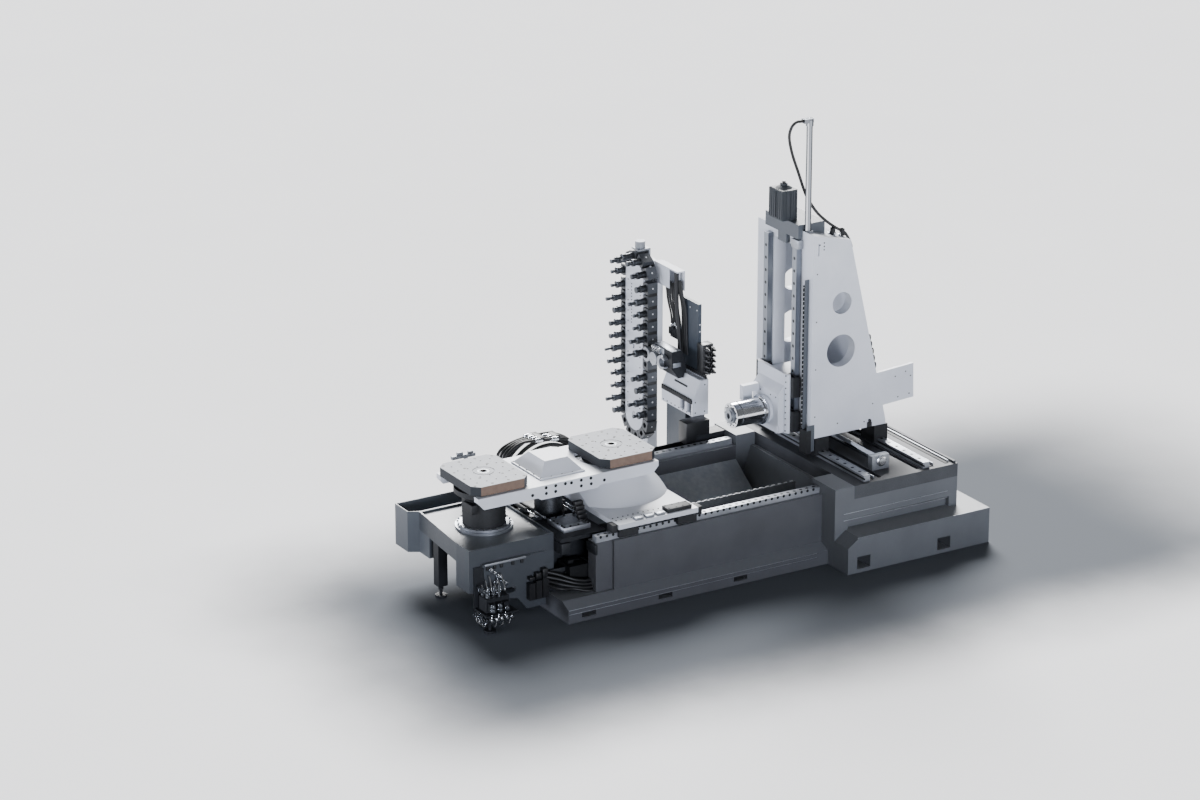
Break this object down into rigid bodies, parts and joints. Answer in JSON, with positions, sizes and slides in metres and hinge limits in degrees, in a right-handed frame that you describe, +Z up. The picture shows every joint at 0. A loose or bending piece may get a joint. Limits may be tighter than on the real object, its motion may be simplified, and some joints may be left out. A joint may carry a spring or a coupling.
{
  "type": "horizontal milling machine",
  "caption": "Horizontal machining centre without enclosure: travelling column, table, rotary pallet changer with loading station, chain tool magazine with tool shuttle.",
  "frame": {"origin": "centre of the machine's outer box, on the floor", "axes": "+Z up; +Y from the loading station to the column, along the long bed; +X to the side with the hydraulic unit"},
  "size_m": [2.9814, 4.427, 3.455],
  "materials": {
    "painted_light": "satin light blue-grey machine paint",
    "painted_bed": "satin mid grey machine paint",
    "painted_frame": "satin grey machine paint",
    "painted_dark": "satin dark grey paint",
    "panel_blue": "satin dark blue-grey paint",
    "machined_steel": "ground steel",
    "way_steel": "dark machined plate",
    "pallet_steel": "ground pallet steel",
    "chrome": "hard chrome",
    "oxide_steel": "black oxide",
    "tool_steel": "dark tool steel",
    "pot_plastic": "dark grey engineering plastic",
    "motor_black": "matte black paint",
    "motor_grey": "satin grey-green paint",
    "hose_rubber": "black rubber",
    "cable_black": "black cable sleeve",
    "box_plastic": "black moulded plastic",
    "zinc_sheet": "bent sheet steel"
  },
  "bodies": {
    "machine_bed": {"z_bed": "painted_bed", "x_bed": "painted_bed", "x_way_plate": "way_steel", "trough_liner": "zinc_sheet", "screw_cover": "zinc_sheet", "z_rails": "machined_steel", "x_rails": "machined_steel", "z_motor": "motor_black", "x_motor": "motor_black", "screw_bearings": "machined_steel", "cable_channel": "painted_dark", "changer_base": "painted_dark", "front_frame": "painted_frame", "coolant_tub": "painted_frame", "side_panel": "painted_frame", "frame_feet": "painted_dark", "hydraulic_manifold": "painted_dark", "hydraulic_fittings": "chrome", "terminal_boxes": "box_plastic", "station_ring": "machined_steel", "hose_arch": "hose_rubber", "magazine_stand": "painted_light", "magazine_plate": "painted_light", "chain_pots": "pot_plastic", "tools": "tool_steel", "magazine_cover": "zinc_sheet", "magazine_motor": "motor_black", "guide_base": "painted_light", "guide_post": "painted_frame", "switch_panel": "panel_blue", "cable_duct": "painted_light", "cable_bundle": "cable_black"},
    "wheel_top": {"magazine_wheel_top": "machined_steel"},
    "wheel_low": {"magazine_wheel_low": "machined_steel"},
    "z_screw": {"z_ballscrew": "chrome"},
    "x_screw": {"x_ballscrew": "chrome"},
    "y_screw": {"y_ballscrew": "chrome"},
    "table_saddle": {"saddle": "painted_light", "z_carriages": "oxide_steel"},
    "table_top": {"rotary_table": "machined_steel", "pallet_rear": "pallet_steel"},
    "changer": {"changer_column": "machined_steel", "changer_arm": "painted_light", "arm_cover": "painted_light"},
    "station": {"station_table": "oxide_steel", "pallet_front": "pallet_steel"},
    "column_unit": {"column": "painted_light", "tail_bracket": "painted_light", "x_carriages": "oxide_steel", "y_rails": "machined_steel", "y_motor": "motor_grey", "y_drive_housing": "painted_frame", "counterbalance": "chrome", "hose": "hose_rubber"},
    "head": {"headstock": "painted_light", "head_carriages": "oxide_steel", "spindle_housing": "chrome"},
    "spindle_rotor": {"spindle": "machined_steel"},
    "shuttle": {"tool_carriage": "painted_dark"},
    "gripper": {"tool_arm": "machined_steel"}
  },
  "joints": [
    {"name": "table_z", "type": "slide", "parent": "machine_bed", "child": "table_saddle", "axis": [0, 1, 0], "range_m": [0, 0.85]},
    {"name": "b_axis", "type": "hinge", "parent": "table_saddle", "child": "table_top", "pos_m": [0.41067, -0.6755, 0.9], "axis": [0, 0, 1], "continuous": true},
    {"name": "changer_lift", "type": "slide", "parent": "machine_bed", "child": "changer", "axis": [0, 0, 1], "range_m": [-0.03, 0]},
    {"name": "station_turn", "type": "hinge", "parent": "machine_bed", "child": "station", "pos_m": [0.41067, -1.8235, 0.7], "axis": [0, 0, 1], "continuous": true},
    {"name": "column_x", "type": "slide", "parent": "machine_bed", "child": "column_unit", "axis": [1, 0, 0], "range_m": [-0.2, 0.6]},
    {"name": "head_y", "type": "slide", "parent": "column_unit", "child": "head", "axis": [0, 0, 1], "range_m": [0, 0.8]},
    {"name": "spindle_spin", "type": "hinge", "parent": "head", "child": "spindle_rotor", "pos_m": [0.21067, 0.7635, 0.99], "axis": [0, 1, 0], "continuous": true},
    {"name": "z_screw_turn", "type": "hinge", "parent": "machine_bed", "child": "z_screw", "pos_m": [0.86567, -0.1365, 0.26], "axis": [0, 1, 0], "range_deg": [-1, 15301]},
    {"name": "x_screw_turn", "type": "hinge", "parent": "machine_bed", "child": "x_screw", "pos_m": [0.41067, 1.419, 0.724], "axis": [1, 0, 0], "range_deg": [-3601, 10801]},
    {"name": "y_screw_turn", "type": "hinge", "parent": "column_unit", "child": "y_screw", "pos_m": [0.21067, 1.2135, 1.6], "axis": [0, 0, 1], "range_deg": [-1, 18001]},
    {"name": "wheel_top_turn", "type": "hinge", "parent": "machine_bed", "child": "wheel_top", "pos_m": [-1.27433, 0.6135, 1.74], "axis": [0, 1, 0], "continuous": true},
    {"name": "wheel_low_turn", "type": "hinge", "parent": "machine_bed", "child": "wheel_low", "pos_m": [-1.27433, 0.6135, 0.53], "axis": [0, 1, 0], "continuous": true},
    {"name": "shuttle_x", "type": "slide", "parent": "machine_bed", "child": "shuttle", "axis": [1, 0, 0], "range_m": [0, 0.17]},
    {"name": "gripper_swing", "type": "hinge", "parent": "shuttle", "child": "gripper", "pos_m": [-0.88933, 0.5435, 1.15], "axis": [0, 1, 0], "range_deg": [0, 180]}
  ],
  "couplings": [
    {"joint": "z_screw_turn", "follows": "table_z", "rad_per_m": 314.16},
    {"joint": "x_screw_turn", "follows": "column_x", "rad_per_m": 314.16},
    {"joint": "y_screw_turn", "follows": "head_y", "rad_per_m": 392.7},
    {"joint": "wheel_low_turn", "follows": "wheel_top_turn", "ratio": 1}
  ]
}
